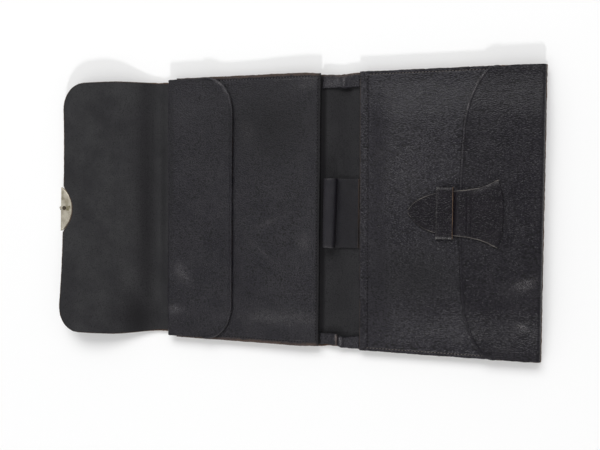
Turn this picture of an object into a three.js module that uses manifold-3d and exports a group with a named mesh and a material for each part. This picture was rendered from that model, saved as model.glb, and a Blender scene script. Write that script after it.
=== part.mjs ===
// A leather wallet pouch lying open, inner side up, in millimetres, +Z up.
// From left (-X) to right (+X): the closing flap with its metal clasp, the left panel with a
// pocket under a plain flap, the spine with a pencil loop, and the right panel with a pocket
// whose flap is held by a tongue tucked under a keeper. One outer cover and one lining run
// through all of it, and each pocket is an envelope: a back sheet that folds over into its
// flap, and a front sheet sewn to it along three edges, with a hollow between the two.
import * as THREE from "three";
import Module from "manifold-3d";
import { mergeVertices } from "three/addons/utils/BufferGeometryUtils.js";

const wasm = await Module();
wasm.setup();

// ---- driving dimensions -------------------------------------------------------------------
const gap = 0.3; // between two pieces that lie on each other
const halfHeight = 85.4; // half of the panels' height, along Y
const spineHalf = 12;
const leftPanel = 105;
const rightPanel = 107.4;

const cover = { thick: 1.2, proud: 0.6 };
const lining = { thick: 1.0, inset: 0.5 };
const wall = 1.1; // pocket leather
const cavity = 5; // clear height inside a pocket
const seam = 3.5; // flat margin where the front sheet is sewn down
const rowClear = 0.5; // no two rows of a pocket sheet lie nearer than this
const liftMid = 42; // station between a front sheet's slope and its mouth

const leftFold = -(spineHalf + leftPanel);
const rightFold = spineHalf + rightPanel;
const liningTop = cover.thick + gap + lining.thick;
const backBottom = liningTop + gap;

// The closing flap: heights of its underside along the upper and the lower edge, and how far it
// sags between them.
const flapSections = [
  { x: -112, upper: 0, lower: 0, sag: 0 },
  { x: -127, upper: 0, lower: 0, sag: 0 },
  { x: -139, upper: 1.9, lower: 1.6, sag: 0.2 },
  { x: -151, upper: 4.7, lower: 4.6, sag: 0.9 },
  { x: -163, upper: 6.3, lower: 7.7, sag: 1.9 },
  { x: -175, upper: 6.2, lower: 9.4, sag: 2.9 },
  { x: -188, upper: 5.2, lower: 9.4, sag: 3.5 },
  { x: -202, upper: 3.4, lower: 8.0, sag: 3.5 },
];
const closingFlap = {
  endUpper: -198, endLower: -200.3, corner: 17.5, full: 85.9,
  waist: 83.5, waistShift: 0.9, waistFrom: -120, fullFrom: -160,
};

const leftPocket = {
  fold: leftFold, side: -1, inner: -spineHalf - 0.3, mouth: leftFold + 6,
  halfBack: halfHeight - 0.6, halfFront: halfHeight + 0.3,
  edgeRamp: 18, sideRamp: 20, lift: 1.2, liftFrom: 60,
  flapEnd: -70.3, bow: 0, cornerX: 18, cornerY: 24,
};
const rightPocket = {
  fold: rightFold, side: 1, inner: spineHalf + 0.8, mouth: rightFold - 6,
  halfBack: halfHeight - 0.4, halfFront: halfHeight,
  edgeRamp: 16, sideRamp: 20, lift: 0, liftFrom: 60,
  flapEnd: 72.6, bow: 5, cornerX: 14, cornerY: 38,
};

// The tongue on the right flap: sections from its tip to its wide end.
const tongueSections = [
  { x: 42.9, half: 0.9 }, { x: 44.4, half: 3.0 }, { x: 47.6, half: 6.4 }, { x: 53, half: 9.7 },
  { x: 59.4, half: 11.9 }, { x: 64, half: 12.5 }, { x: 69.6, half: 13.1 }, { x: 72.2, half: 13.4 },
  { x: 78, half: 14.0 }, { x: 84, half: 15.2 }, { x: 89.5, half: 17.2 }, { x: 94.5, half: 19.8 },
];
const tongue = { thick: 1.1, endBulge: 3.3, stepFrom: 69.4, stepTo: 72.2 };
const keeper = { from: 59.4, to: 69.3, half: 15.4, legInner: 13.7, thick: 1.0, round: 0.8 };
const pencilLoop = {
  left: -9.8, width: 7.6, height: 7.4, round: 2.2, wall: 1.1, tailEnd: spineHalf,
  from: -22.3, to: 20.3,
};
const spineStrip = {
  half: spineHalf - 0.3, inner: 76.6, outer: 84.5, thick: 1.1, pucker: 1.1, puckerWidth: 5.5,
};
const clasp = {
  y: -1, radius: 17.1, deepest: -192, edge: -202.2, lip: 3, plate: 1.0, boss: 1.5,
  holeX: -198.4, holeRadius: 1.3, holeFloor: 0.5,
  pinRadius: 0.65, pinTip: -202.7, pinEnd: -197.6, pinHeight: 0.2,
};
const catchPlate = { x: 60, y: -1, length: 26, width: 12, round: 3 };

// ---- small helpers ------------------------------------------------------------------------
const clamp01 = (t) => Math.min(1, Math.max(0, t));
const smooth = (t) => clamp01(t) ** 2 * (3 - 2 * clamp01(t));
const lerp = (a, b, t) => a + (b - a) * t;
const steps = (a, b, n) => Array.from({ length: n + 1 }, (_, i) => lerp(a, b, i / n));

// The value of one column of a table of sections at x, on a smooth curve through the rows.
function along(sections, column, x) {
  const dir = Math.sign(sections[1].x - sections[0].x);
  const last = sections.length - 1;
  let i = 0;
  while (i < last - 1 && (x - sections[i + 1].x) * dir > 0) i++;
  const slope = (k) => {
    const a = sections[Math.max(0, k - 1)], b = sections[Math.min(last, k + 1)];
    return (b[column] - a[column]) / (b.x - a.x);
  };
  const a = sections[i], b = sections[i + 1], w = b.x - a.x;
  const t = clamp01((x - a.x) / w);
  const h = t * t * (3 - 2 * t);
  return a[column] * (1 - h) + b[column] * h
    + slope(i) * w * t * (1 - t) ** 2 - slope(i + 1) * w * t * t * (1 - t);
}

// A leather sheet as one closed solid: pointAt(i, j) gives the upper and lower point of
// station i on row j, and the border is closed with a wall.
function leaf(stations, rows, pointAt) {
  const positions = [];
  const index = [];
  for (let j = 0; j < rows; j++) {
    for (let i = 0; i < stations; i++) {
      const { upper, lower } = pointAt(i, j);
      positions.push(...upper, ...lower);
    }
  }
  const up = (i, j) => 2 * (j * stations + i);
  const down = (i, j) => up(i, j) + 1;
  const quad = (a, b, c, d) => index.push(a, b, c, a, c, d);
  for (let j = 0; j + 1 < rows; j++) {
    for (let i = 0; i + 1 < stations; i++) {
      quad(up(i, j), up(i + 1, j), up(i + 1, j + 1), up(i, j + 1));
      quad(down(i, j), down(i, j + 1), down(i + 1, j + 1), down(i + 1, j));
    }
  }
  for (let i = 0; i + 1 < stations; i++) {
    quad(down(i, 0), down(i + 1, 0), up(i + 1, 0), up(i, 0));
    quad(up(i, rows - 1), up(i + 1, rows - 1), down(i + 1, rows - 1), down(i, rows - 1));
  }
  for (let j = 0; j + 1 < rows; j++) {
    quad(up(0, j), up(0, j + 1), down(0, j + 1), down(0, j));
    quad(down(stations - 1, j), down(stations - 1, j + 1), up(stations - 1, j + 1), up(stations - 1, j));
  }
  const geometry = new THREE.BufferGeometry();
  geometry.setAttribute("position", new THREE.Float32BufferAttribute(positions, 3));
  geometry.setIndex(index);
  return geometry;
}

function solidOf(geometry) {
  const bare = new THREE.BufferGeometry();
  const source = geometry.index ? geometry.toNonIndexed() : geometry;
  bare.setAttribute("position", source.getAttribute("position"));
  const merged = mergeVertices(bare, 1e-3);
  return new wasm.Manifold(new wasm.Mesh({
    numProp: 3,
    vertProperties: merged.attributes.position.array,
    triVerts: new Uint32Array(merged.index.array),
  }));
}

function geometryOf(solid) {
  const mesh = solid.getMesh();
  const geometry = new THREE.BufferGeometry();
  geometry.setAttribute("position", new THREE.BufferAttribute(mesh.vertProperties, 3));
  geometry.setIndex(new THREE.BufferAttribute(mesh.triVerts, 1));
  return geometry;
}

const materials = {
  coverLeather: new THREE.MeshStandardMaterial({ color: 0x242326, roughness: 0.6 }),
  liningLeather: new THREE.MeshStandardMaterial({ color: 0x2b2b2c, roughness: 0.8 }),
  pocketLeather: new THREE.MeshStandardMaterial({ color: 0x232226, roughness: 0.55 }),
  claspMetal: new THREE.MeshStandardMaterial({ color: 0xb0a999, roughness: 0.4, metalness: 0.9 }),
  pinMetal: new THREE.MeshStandardMaterial({ color: 0x4a3322, roughness: 0.8, metalness: 0.4 }),
};

const wallet = new THREE.Group();

function add(name, geometry, material) {
  const mesh = new THREE.Mesh(geometry, materials[material]);
  mesh.name = name;
  wallet.add(mesh);
  return mesh;
}

// ---- shape of the closing flap ------------------------------------------------------------
function flapHeight(x, y) {
  if (x > flapSections[0].x) return 0;
  const side = y / halfHeight;
  const upperShare = (side + 1) / 2;
  const edges = lerp(along(flapSections, "lower", x), along(flapSections, "upper", x), upperShare);
  const sag = along(flapSections, "sag", x) * Math.max(0, 1 - side * side);
  return Math.max(0, edges - sag);
}

// Place across the cover or lining at share v of its half height: the flap has a waist.
function bodyY(v, x, panelHalf, inset) {
  const f = closingFlap;
  const intoPanel = smooth((x - leftFold - 1) / 4);
  const alongFlap = smooth((f.waistFrom - x) / (f.waistFrom - f.fullFrom));
  const half = lerp(lerp(f.waist, f.full, alongFlap), panelHalf, intoPanel);
  return v * (half - inset) + f.waistShift * (1 - alongFlap) * (1 - intoPanel);
}

// Where the flap's free edge lies on the row at share v of the half height.
function flapEdge(v, inset) {
  const f = closingFlap;
  const inCorner = Math.max(0, Math.abs(v) * f.full - (f.full - f.corner));
  const rounded = f.corner - Math.sqrt(Math.max(0, f.corner ** 2 - inCorner ** 2));
  const arc = clasp.radius ** 2 - (v * f.full - clasp.y) ** 2;
  const notch = arc > 0 ? clasp.deepest - clasp.radius + Math.sqrt(arc) : -Infinity;
  const end = lerp(f.endLower, f.endUpper, (v + 1) / 2);
  return Math.max(end + inset + rounded, notch + inset);
}

// Rows of the cover and lining, as shares of the half height: close together where the edge curves.
function bodyRows() {
  const straight = 1 - closingFlap.corner / closingFlap.full;
  const cornerShare = closingFlap.corner / closingFlap.full;
  const corner = steps(0, Math.PI / 2, 6).map((a) => straight + cornerShare * Math.sin(a));
  const depth = clasp.deepest - closingFlap.endLower;
  const reach = Math.sqrt(clasp.radius ** 2 - (clasp.radius - depth) ** 2);
  const notch = steps(-1, 1, 8).map((t) => (clasp.y + reach * t * 1.01) / closingFlap.full);
  const between = [0.35, 0.56];
  const rows = [...corner.map((v) => -v), ...between.map((v) => -v), ...notch, ...between, ...corner];
  return rows.sort((a, b) => a - b);
}

function bodySheet({ bottom, thick, inset, rightEnd, panelHalf }) {
  const rows = bodyRows();
  const flapShares = [0, 0.12, 0.26, 0.4, 0.52, 0.64, 0.76, 0.88, 1];
  const panelStations = [rightEnd, spineHalf, -spineHalf, leftFold + 5.5, leftFold + 1.5];
  const flapFrom = closingFlap.waistFrom + 2;
  const count = panelStations.length + flapShares.length;
  return leaf(count, rows.length, (i, j) => {
    const k = count - 1 - i; // from the flap's edge to the right end
    const v = rows[j];
    const x = k < panelStations.length
      ? panelStations[k]
      : lerp(flapFrom, flapEdge(v, inset), flapShares[k - panelStations.length]);
    const y = bodyY(v, x, panelHalf, inset);
    const z = flapHeight(x, y) + bottom;
    return { upper: [x, y, z + thick], lower: [x, y, z] };
  });
}

// ---- pockets ------------------------------------------------------------------------------
// How far a pocket's back sheet stands off the lining, towards the spine.
function backLift(p, x) {
  const fromInner = Math.abs(x - p.inner);
  return p.lift * smooth(1 - fromInner / p.liftFrom);
}

// Underside of the front sheet: sewn down on three edges, and raised over the hollow.
function frontBottom(p, x, y) {
  const inX = smooth((Math.abs(x - p.inner) - seam) / p.edgeRamp);
  const inY = smooth((p.halfFront - seam - Math.abs(y)) / p.sideRamp);
  return backBottom + backLift(p, x) + wall + gap + (cavity - gap) * inX * inY;
}

// Middle of the flap's leather, which lies on the front sheet and bridges past its mouth.
function flapMiddle(p, x, y) {
  const onFront = p.side < 0 ? Math.max(x, p.mouth) : Math.min(x, p.mouth);
  return frontBottom(p, onFront, y) + wall + gap + wall / 2;
}

// Rows of a pocket sheet of this half height: the front's slope rows, which its flap shares, and
// the rows of a rounded corner.
function pocketRows(p, half, cornerY) {
  const corner = cornerY > 0
    ? steps(0, Math.PI / 2, 6).map((a) => half - cornerY + cornerY * Math.sin(a))
    : [half];
  const slope = steps(p.halfFront - seam - p.sideRamp, p.halfFront - seam, 6);
  const clear = slope.filter((y) => corner.every((c) => Math.abs(c - y) > rowClear));
  const positive = [...clear, ...corner];
  return [...positive.map((y) => -y), 0, ...positive].sort((a, b) => a - b);
}

function pocketFront(p) {
  const rows = pocketRows(p, p.halfFront, 0);
  const inward = Math.sign(p.mouth - p.inner);
  const rampEnd = seam + p.edgeRamp;
  const distances = [0, ...steps(seam, rampEnd, 4), liftMid, Math.abs(p.mouth - p.inner)];
  const xs = distances.map((d) => p.inner + inward * d).sort((a, b) => a - b);
  return leaf(xs.length, rows.length, (i, j) => {
    const x = xs[i];
    const y = rows[j];
    const z = frontBottom(p, x, y);
    return { upper: [x, y, z + wall], lower: [x, y, z] };
  });
}

// Free end of a pocket's flap on the row at y, with its rounded corners.
function flapReach(p, y) {
  const inCorner = clamp01((Math.abs(y) - (p.halfBack - p.cornerY)) / p.cornerY);
  const bow = p.bow * (y / p.halfBack) ** 2;
  return p.flapEnd + p.side * (bow + p.cornerX * (1 - Math.sqrt(1 - inCorner ** 2)));
}

// Back sheet, fold and flap in one: the middle line of the leather on each row, thickened.
function pocketEnvelope(p) {
  const rows = pocketRows(p, p.halfBack, p.cornerY);
  const backShares = [0, 0.18, 0.36, 0.54, 0.97];
  const foldAngles = steps(-Math.PI / 2, Math.PI / 2, 6);
  const flapShares = [0.3, 1];
  const middleLine = (y) => {
    const low = (x) => backBottom + backLift(p, x) + wall / 2;
    const lowZ = low(p.fold), highZ = flapMiddle(p, p.fold, y);
    const rise = (highZ - lowZ) / 2;
    const bulge = Math.min(rise, 3.2);
    const foldCentre = p.fold - p.side * (wall / 2 + bulge);
    const line = backShares.map((s) => {
      const x = lerp(p.inner, p.mouth, s);
      return [x, low(x)];
    });
    for (const a of foldAngles) {
      line.push([foldCentre + p.side * bulge * Math.cos(a), (lowZ + highZ) / 2 + rise * Math.sin(a)]);
    }
    const free = flapReach(p, y);
    for (const s of flapShares) {
      const x = lerp(foldCentre, free, s);
      line.push([x, flapMiddle(p, x, y)]);
    }
    return line;
  };
  const lines = rows.map(middleLine);
  const count = lines[0].length;
  return leaf(count, rows.length, (i, j) => {
    const line = lines[j];
    const a = line[Math.max(0, i - 1)], b = line[Math.min(count - 1, i + 1)];
    const length = Math.hypot(b[0] - a[0], b[1] - a[1]);
    const nx = -(b[1] - a[1]) / length * p.side, nz = (b[0] - a[0]) / length * p.side;
    const [x, z] = line[i];
    const inner = [x + nx * wall / 2, rows[j], z + nz * wall / 2];
    const outer = [x - nx * wall / 2, rows[j], z - nz * wall / 2];
    return p.side > 0 ? { upper: inner, lower: outer } : { upper: outer, lower: inner };
  });
}

// ---- tongue, keeper, pencil loop, spine strips --------------------------------------------
const plateauTop = frontBottom(rightPocket, 60, 0) + wall;

function tongueSheet() {
  const rows = steps(-1, 1, 6);
  const last = tongueSections.length - 1;
  return leaf(tongueSections.length, rows.length, (i, j) => {
    const v = rows[j];
    const { x, half } = tongueSections[i];
    const bulge = tongue.endBulge * smooth((i - last + 4) / 4) * (1 - v * v);
    const onFlap = smooth((x - tongue.stepFrom) / (tongue.stepTo - tongue.stepFrom));
    const z = plateauTop + gap + (wall + gap) * onFlap;
    const at = [x + bulge, v * half];
    return { upper: [...at, z + tongue.thick], lower: [...at, z] };
  });
}

function keeperBridge() {
  const base = plateauTop + gap;
  const underside = base + tongue.thick + gap;
  const top = underside + keeper.thick;
  const { half, legInner, round } = keeper;
  const section = new THREE.Shape();
  section.moveTo(-half, base);
  section.lineTo(-legInner, base);
  section.lineTo(-legInner, underside);
  section.lineTo(legInner, underside);
  section.lineTo(legInner, base);
  section.lineTo(half, base);
  section.lineTo(half, top - round);
  section.absarc(half - round, top - round, round, 0, Math.PI / 2, false);
  section.absarc(-half + round, top - round, round, Math.PI / 2, Math.PI, false);
  const geometry = new THREE.ExtrudeGeometry(section, {
    depth: keeper.to - keeper.from, bevelEnabled: false, curveSegments: 4,
  });
  // The section's plane becomes YZ, and its depth runs along X.
  geometry.rotateX(Math.PI / 2);
  geometry.rotateZ(Math.PI / 2);
  geometry.translate(keeper.from, 0, 0);
  return geometry;
}

function roundedBox(path, left, bottom, right, top, r) {
  path.moveTo(left + r, bottom);
  path.lineTo(right - r, bottom);
  path.absarc(right - r, bottom + r, r, -Math.PI / 2, 0, false);
  path.absarc(right - r, top - r, r, 0, Math.PI / 2, false);
  path.absarc(left + r, top - r, r, Math.PI / 2, Math.PI, false);
  path.absarc(left + r, bottom + r, r, Math.PI, Math.PI * 1.5, false);
}

function pencilLoopStrip() {
  const l = pencilLoop;
  const right = l.left + l.width;
  const top = backBottom + l.height;
  const toe = l.round / 2;
  const section = new THREE.Shape();
  section.moveTo(l.left + toe, backBottom);
  section.lineTo(l.tailEnd, backBottom);
  section.lineTo(l.tailEnd, backBottom + l.wall);
  section.lineTo(right, backBottom + l.wall);
  section.lineTo(right, top - l.round);
  section.absarc(right - l.round, top - l.round, l.round, 0, Math.PI / 2, false);
  section.absarc(l.left + l.round, top - l.round, l.round, Math.PI / 2, Math.PI, false);
  section.lineTo(l.left, backBottom + toe);
  section.absarc(l.left + toe, backBottom + toe, toe, Math.PI, Math.PI * 1.5, false);
  const hole = new THREE.Path();
  roundedBox(hole, l.left + l.wall, backBottom + l.wall, right - l.wall, top - l.wall, l.round - l.wall);
  section.holes.push(hole);
  const geometry = new THREE.ExtrudeGeometry(section, {
    depth: l.to - l.from, bevelEnabled: false, curveSegments: 4,
  });
  // The section's plane becomes XZ, and its depth runs along Y.
  geometry.rotateX(Math.PI / 2);
  geometry.translate(0, l.to, 0);
  return geometry;
}

// A strip across the end of the spine, puckered where the leather creases on folding.
function spineStripSheet(end, creaseX) {
  const s = spineStrip;
  const xs = steps(-s.half, s.half, 10);
  const ys = end > 0 ? [s.inner, s.outer] : [-s.outer, -s.inner];
  return leaf(xs.length, ys.length, (i, j) => {
    const x = xs[i];
    const inward = Math.abs(ys[j]) === s.inner ? 1 : 0.35;
    const z = backBottom + s.pucker * inward * Math.exp(-(((x - creaseX) / s.puckerWidth) ** 2));
    return { upper: [x, ys[j], z + s.thick], lower: [x, ys[j], z] };
  });
}

// ---- clasp --------------------------------------------------------------------------------
// A segment of a disc, cut straight at the clasp's outer edge, between two heights.
function segment(radius, bottom, top) {
  const centre = clasp.deepest - clasp.radius;
  const chord = Math.acos((clasp.edge - centre) / radius);
  const outline = new THREE.Shape();
  outline.absarc(centre, 0, radius, -chord, chord, false);
  outline.closePath();
  const geometry = new THREE.ExtrudeGeometry(outline, {
    depth: top - bottom, bevelEnabled: false, curveSegments: 14,
  });
  geometry.translate(0, 0, bottom);
  return solidOf(geometry);
}

function claspPlateSolid() {
  const bottom = -gap - clasp.plate;
  const flange = segment(clasp.radius + clasp.lip, bottom, -gap);
  const boss = segment(clasp.radius - gap, bottom, clasp.boss);
  const floor = bottom + clasp.holeFloor;
  const depth = clasp.boss + 1 - floor;
  const hole = new THREE.CylinderGeometry(clasp.holeRadius, clasp.holeRadius, depth, 16);
  hole.rotateX(Math.PI / 2);
  hole.translate(clasp.holeX, 0, floor + depth / 2);
  const reach = clasp.holeX - clasp.edge + 2;
  const bore = new THREE.CylinderGeometry(clasp.pinRadius + gap, clasp.pinRadius + gap, reach, 12);
  bore.rotateZ(Math.PI / 2);
  bore.translate(clasp.holeX - reach / 2, 0, clasp.pinHeight);
  return flange.add(boss).subtract(solidOf(hole)).subtract(solidOf(bore));
}

function claspPinGeometry() {
  const length = clasp.pinEnd - clasp.pinTip;
  const pin = new THREE.CylinderGeometry(clasp.pinRadius, clasp.pinRadius, length, 12);
  pin.rotateZ(Math.PI / 2);
  pin.translate((clasp.pinEnd + clasp.pinTip) / 2, 0, clasp.pinHeight);
  return pin;
}

// The clasp is rigid and lies in the plane of the leather around it.
function seatOnFlap(mesh) {
  const x = (clasp.edge + clasp.deepest) / 2;
  const z = flapHeight(x, clasp.y);
  const slopeX = (flapHeight(x + 3, clasp.y) - flapHeight(x - 3, clasp.y)) / 6;
  const slopeY = (flapHeight(x, clasp.y + 6) - flapHeight(x, clasp.y - 6)) / 12;
  const normal = new THREE.Vector3(-slopeX, -slopeY, 1).normalize();
  mesh.geometry.translate(-x, 0, 0);
  mesh.position.set(x, clasp.y, z);
  mesh.quaternion.setFromUnitVectors(new THREE.Vector3(0, 0, 1), normal);
}

function catchBlock(grow, bottom, top) {
  const halfWidth = catchPlate.width / 2 + grow;
  const halfLength = catchPlate.length / 2 + grow;
  const outline = new THREE.Shape();
  roundedBox(outline, -halfWidth, -halfLength, halfWidth, halfLength, catchPlate.round + grow);
  const geometry = new THREE.ExtrudeGeometry(outline, {
    depth: top - bottom, bevelEnabled: false, curveSegments: 4,
  });
  geometry.translate(catchPlate.x, catchPlate.y, bottom);
  return geometry;
}

// ---- assembly -----------------------------------------------------------------------------
const coverSheet = bodySheet({
  bottom: 0, thick: cover.thick, inset: 0, rightEnd: rightFold + cover.proud, panelHalf: halfHeight + 0.4,
});
const catchWindow = catchBlock(gap, -1, cover.thick + 1);
add("outer_cover", geometryOf(solidOf(coverSheet).subtract(solidOf(catchWindow))), "coverLeather");
add("lining", bodySheet({
  bottom: cover.thick + gap, thick: lining.thick, inset: lining.inset,
  rightEnd: rightFold - 1, panelHalf: halfHeight,
}), "liningLeather");

add("left_pocket_envelope", pocketEnvelope(leftPocket), "pocketLeather");
add("left_pocket_front", pocketFront(leftPocket), "pocketLeather");
add("right_pocket_envelope", pocketEnvelope(rightPocket), "pocketLeather");
add("right_pocket_front", pocketFront(rightPocket), "pocketLeather");

add("tongue", tongueSheet(), "pocketLeather");
add("tongue_keeper", keeperBridge(), "pocketLeather");
add("pencil_loop", pencilLoopStrip(), "pocketLeather");
add("spine_strip_upper", spineStripSheet(1, 2.5), "coverLeather");
add("spine_strip_lower", spineStripSheet(-1, 0.5), "coverLeather");

seatOnFlap(add("clasp_plate", geometryOf(claspPlateSolid()), "claspMetal"));
seatOnFlap(add("clasp_pin", claspPinGeometry(), "pinMetal"));
add("catch_plate", catchBlock(0, 0, cover.thick), "claspMetal");

// The part's frame has its origin under the middle of the open wallet.
const bounds = new THREE.Box3().setFromObject(wallet);
wallet.position.x = -(bounds.min.x + bounds.max.x) / 2;
const part = new THREE.Group();
part.add(wallet);

export default part;
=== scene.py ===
import math

import bpy
import numpy as np
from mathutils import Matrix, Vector


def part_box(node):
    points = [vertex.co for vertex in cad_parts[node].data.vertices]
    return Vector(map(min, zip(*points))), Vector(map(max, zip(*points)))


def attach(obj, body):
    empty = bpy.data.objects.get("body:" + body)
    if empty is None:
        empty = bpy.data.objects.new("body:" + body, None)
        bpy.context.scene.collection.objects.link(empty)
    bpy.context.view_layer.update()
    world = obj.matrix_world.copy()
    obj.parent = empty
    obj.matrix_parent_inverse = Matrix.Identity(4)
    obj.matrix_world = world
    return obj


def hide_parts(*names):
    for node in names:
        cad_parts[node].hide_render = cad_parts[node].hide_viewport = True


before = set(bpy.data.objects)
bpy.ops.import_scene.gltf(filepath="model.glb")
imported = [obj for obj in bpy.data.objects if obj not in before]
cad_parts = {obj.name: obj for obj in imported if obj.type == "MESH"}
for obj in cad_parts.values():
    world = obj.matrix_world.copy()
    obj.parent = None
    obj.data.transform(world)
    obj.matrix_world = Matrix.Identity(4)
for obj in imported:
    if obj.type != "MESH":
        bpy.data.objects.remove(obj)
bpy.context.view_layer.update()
print("frame loaded:", len(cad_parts), "nodes")

mm = 0.001

# Sizes that the pieces share, in mm. x is measured from the middle of the spine.
wallet = {
    "gap": 0.3,
    "halfHeight": 85.4,
    "spineHalf": 12,
    "leftPanel": 105,
    "rightPanel": 107.4,
    "coverThick": 1.2,
    "coverProud": 0.6,
    "liningThick": 1.0,
    "pocketLeather": 1.1,
    "seam": 3.5,
}
gap, pocketLeather = wallet["gap"], wallet["pocketLeather"]
leftFold = -(wallet["spineHalf"] + wallet["leftPanel"])
rightFold = wallet["spineHalf"] + wallet["rightPanel"]
liningTop = wallet["coverThick"] + gap + wallet["liningThick"]
backBottom = liningTop + gap
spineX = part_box("outer_cover")[1][0] - (rightFold + wallet["coverProud"]) * mm


def smooth(t):
    t = np.clip(t, 0.0, 1.0)
    return t * t * (3 - 2 * t)


def mix(a, b, t):
    return a + (b - a) * t


def bell(x, centre, width):
    return np.exp(-(((x - centre) / width) ** 2))


# A smooth curve through a short table of values.
def throughTable(xs, values, x):
    xs = np.asarray(xs, float)
    values = np.asarray(values, float)
    low = np.maximum(np.arange(len(xs)) - 1, 0)
    high = np.minimum(np.arange(len(xs)) + 1, len(xs) - 1)
    slopes = (values[high] - values[low]) / (xs[high] - xs[low])
    i = np.clip(np.searchsorted(xs, x) - 1, 0, len(xs) - 2)
    width = xs[i + 1] - xs[i]
    t = np.clip((x - xs[i]) / width, 0, 1)
    h = smooth(t)
    rise = slopes[i] * width * t * (1 - t) ** 2 - slopes[i + 1] * width * t * t * (1 - t)
    return values[i] * (1 - h) + values[i + 1] * h + rise


# Random waves of about this size in mm, between -1 and 1, the same on every run.
def softNoise(x, y, size, seed):
    cells = 64
    lattice = np.random.RandomState(seed).uniform(-1, 1, (cells, cells))
    u = np.asarray(x, float) / size + cells * 0.5
    v = np.asarray(y, float) / size + cells * 0.5
    i, j = np.floor(u).astype(int), np.floor(v).astype(int)
    s, t = smooth(u - i), smooth(v - j)
    i0, i1, j0, j1 = i % cells, (i + 1) % cells, j % cells, (j + 1) % cells
    lower = mix(lattice[i0, j0], lattice[i1, j0], s)
    upper = mix(lattice[i0, j1], lattice[i1, j1], s)
    return mix(lower, upper, t)


# Grid lines from start to end, step apart, and closer in the fine bands (centre, half width, step).
def gridLines(start, end, step, fine=()):
    samples = 4000
    t = np.linspace(start, end, samples + 1)
    density = np.full(t.shape, 1 / step)
    for centre, halfWidth, fineStep in fine:
        near = smooth(1.5 - np.abs(t - centre) / halfWidth)
        density = np.maximum(density, mix(1 / step, 1 / fineStep, near))
    perSample = (density[1:] + density[:-1]) / 2 * abs(end - start) / samples
    total = np.concatenate([[0], np.cumsum(perSample)])
    count = max(2, int(math.ceil(total[-1])))
    return np.interp(np.linspace(0, total[-1], count + 1), total, t)


def unit(v):
    return v / np.maximum(np.linalg.norm(v, axis=-1, keepdims=True), 1e-9)


def addObject(name, data):
    made = bpy.data.objects.new(name, data)
    bpy.context.scene.collection.objects.link(made)
    return made


def newObject(name, points, faces, material):
    mesh = bpy.data.meshes.new(name)
    world = np.asarray(points, float) * mm + np.array([spineX, 0, 0])
    mesh.from_pydata(world.tolist(), [], faces)
    mesh.validate()
    mesh.materials.append(material)
    mesh.shade_smooth()
    return addObject(name, mesh)


def floatAttribute(made, name, values):
    attribute = made.data.attributes.new(name, "FLOAT", "POINT")
    attribute.data.foreach_set("value", np.asarray(values, np.float32))


# Turns the middle surface of a sheet of leather, a grid of points, into a closed sheet with
# rounded edges. The attribute rawEdge holds each point's distance from the nearest raw side,
# where start and end are the first and last row, and left and right the first and last column.
# Fray makes the outline uneven.
def leatherSheet(name, middle, thick, material, rounding=0.3, raw="start end left right", fray=0.0):
    rows, cols = middle.shape[:2]
    normal = unit(np.cross(np.gradient(middle, axis=1), np.gradient(middle, axis=0)))
    outward = np.zeros_like(middle)
    outward[0] += unit(middle[0] - middle[1])
    outward[-1] += unit(middle[-1] - middle[-2])
    outward[:, 0] += unit(middle[:, 0] - middle[:, 1])
    outward[:, -1] += unit(middle[:, -1] - middle[:, -2])
    if fray:
        ragged = softNoise(middle[..., 0] + middle[..., 2], middle[..., 1], 1.1, 7)
        ragged += softNoise(middle[..., 0], middle[..., 1], 3.7, 8)
        middle = middle + outward * (fray * ragged[..., None])
    rounding = min(rounding, thick / 2)
    inset = middle - outward * rounding
    upper = inset + normal * thick / 2
    lower = inset - normal * thick / 2

    index = np.arange(rows * cols).reshape(rows, cols)
    loop = np.concatenate([index[0], index[1:, -1], index[-1, -2::-1], index[-2:0:-1, 0]])
    edgePoints = middle.reshape(-1, 3)[loop]
    edgeOut = outward.reshape(-1, 3)[loop]
    edgeNormal = normal.reshape(-1, 3)[loop]
    rings = []
    for angle in (45, 0, 0, -45):
        side = 1 if len(rings) < 2 else -1
        drop = rounding * (1 - math.sin(math.radians(abs(angle))))
        back = rounding * (1 - math.cos(math.radians(angle)))
        rings.append(edgePoints - edgeOut * back + edgeNormal * side * (thick / 2 - drop))

    size = rows * cols
    points = np.concatenate([upper.reshape(-1, 3), lower.reshape(-1, 3), *rings])
    quads = np.stack([index[:-1, :-1], index[:-1, 1:], index[1:, 1:], index[1:, :-1]], -1)
    quads = quads.reshape(-1, 4)
    faces = [quads, quads[:, ::-1] + size]
    ringIndex = [loop, *(2 * size + k * len(loop) + np.arange(len(loop)) for k in range(4)), loop + size]
    for above, below in zip(ringIndex[:-1], ringIndex[1:]):
        aboveNext, belowNext = np.roll(above, -1), np.roll(below, -1)
        faces.append(np.stack([below, belowNext, aboveNext, above], -1))
    made = newObject(name, points, np.concatenate(faces).tolist(), material)

    across = np.linalg.norm(np.diff(middle, axis=1), axis=-1)
    along = np.linalg.norm(np.diff(middle, axis=0), axis=-1)
    fromLeft = np.concatenate([np.zeros((rows, 1)), np.cumsum(across, 1)], 1)
    fromStart = np.concatenate([np.zeros((1, cols)), np.cumsum(along, 0)], 0)
    sides = {"start": fromStart, "end": fromStart[-1:] - fromStart,
             "left": fromLeft, "right": fromLeft[:, -1:] - fromLeft}
    distance = np.min([sides[side] for side in raw.split()], axis=0).ravel()
    floatAttribute(made, "rawEdge", np.concatenate([distance, distance, *[distance[loop]] * 4]))
    return made


def walletPoints(made):
    flat = np.empty(len(made.data.vertices) * 3, np.float32)
    made.data.vertices.foreach_get("co", flat)
    return (flat.reshape(-1, 3) - [spineX, 0, 0]) / mm


# One soft oval mark or hump: its middle, half its length and width in mm, its strength or height
# and its turn in degrees.
def mark(x, y, long, wide, amount, turn=0):
    return {"x": x, "y": y, "long": long, "wide": wide, "amount": amount, "turn": turn}


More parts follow.
